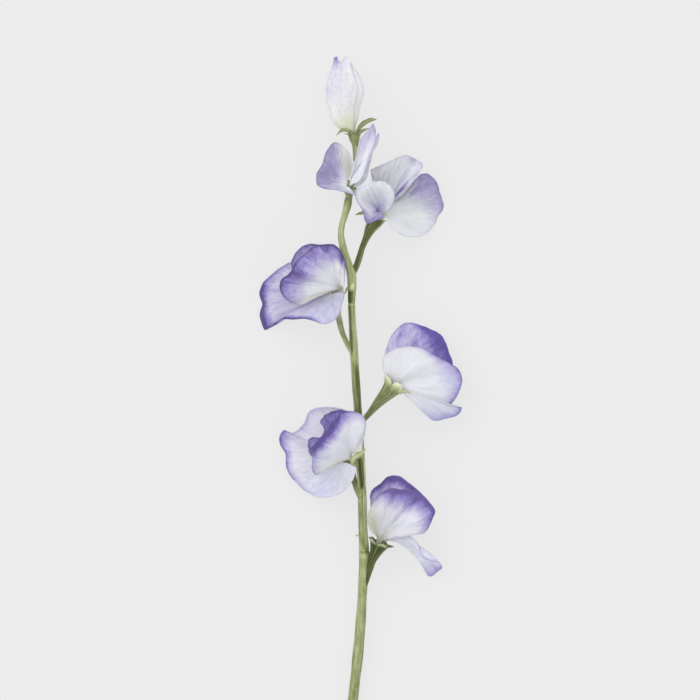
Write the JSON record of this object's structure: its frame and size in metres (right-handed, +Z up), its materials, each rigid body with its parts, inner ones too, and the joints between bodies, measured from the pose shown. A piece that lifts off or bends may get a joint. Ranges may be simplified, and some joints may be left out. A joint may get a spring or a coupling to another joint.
{
  "type": "sweet pea flower stem",
  "caption": "Picked sweet pea stem lying on its side, with waved lilac and white blooms, green calyces and a closed bud at the tip.",
  "frame": {"origin": "on the surface it lies on, under the middle of its bounding box", "axes": "+Y runs along the stem from its cut end to the bud, +Z is up off the surface it lies on, and +X is to the right of the stem seen from above"},
  "size_m": [0.1025, 0.3499, 0.0334],
  "materials": {
    "stem_green": "matte, living plant",
    "petal_white": "matte, thin and soft",
    "petal_lilac": "matte, thin and soft",
    "petal_cream": "matte, thin and soft"
  },
  "bodies": {
    "root": {"stem": "stem_green", "bloom_1_standard": "petal_white", "bloom_1_wing_far": "petal_lilac", "bloom_1_wing_near": "petal_lilac", "bloom_2_standard": "petal_white", "bloom_2_wing_far": "petal_lilac", "bloom_2_wing_near": "petal_lilac", "bloom_3_standard": "petal_white", "bloom_3_wing_near": "petal_lilac", "bloom_3_wing_far": "petal_lilac", "bloom_4_standard": "petal_white", "bloom_4_wing_far": "petal_lilac", "bloom_4_wing_near": "petal_lilac", "bloom_5_standard": "petal_white", "bloom_5_wing_far": "petal_lilac", "bloom_5_wing_near": "petal_lilac", "bloom_6_standard": "petal_lilac", "bloom_6_wing_near": "petal_white", "bloom_6_wing_far": "petal_white", "bud_standard": "petal_white", "bud_wing_near": "petal_white", "bud_wing_far": "petal_white", "bloom_1_keel": "petal_cream", "bloom_2_keel": "petal_cream", "bloom_3_keel": "petal_cream", "bloom_4_keel": "petal_cream", "bloom_5_keel": "petal_cream", "bloom_6_keel": "petal_cream"}
  },
  "joints": []
}
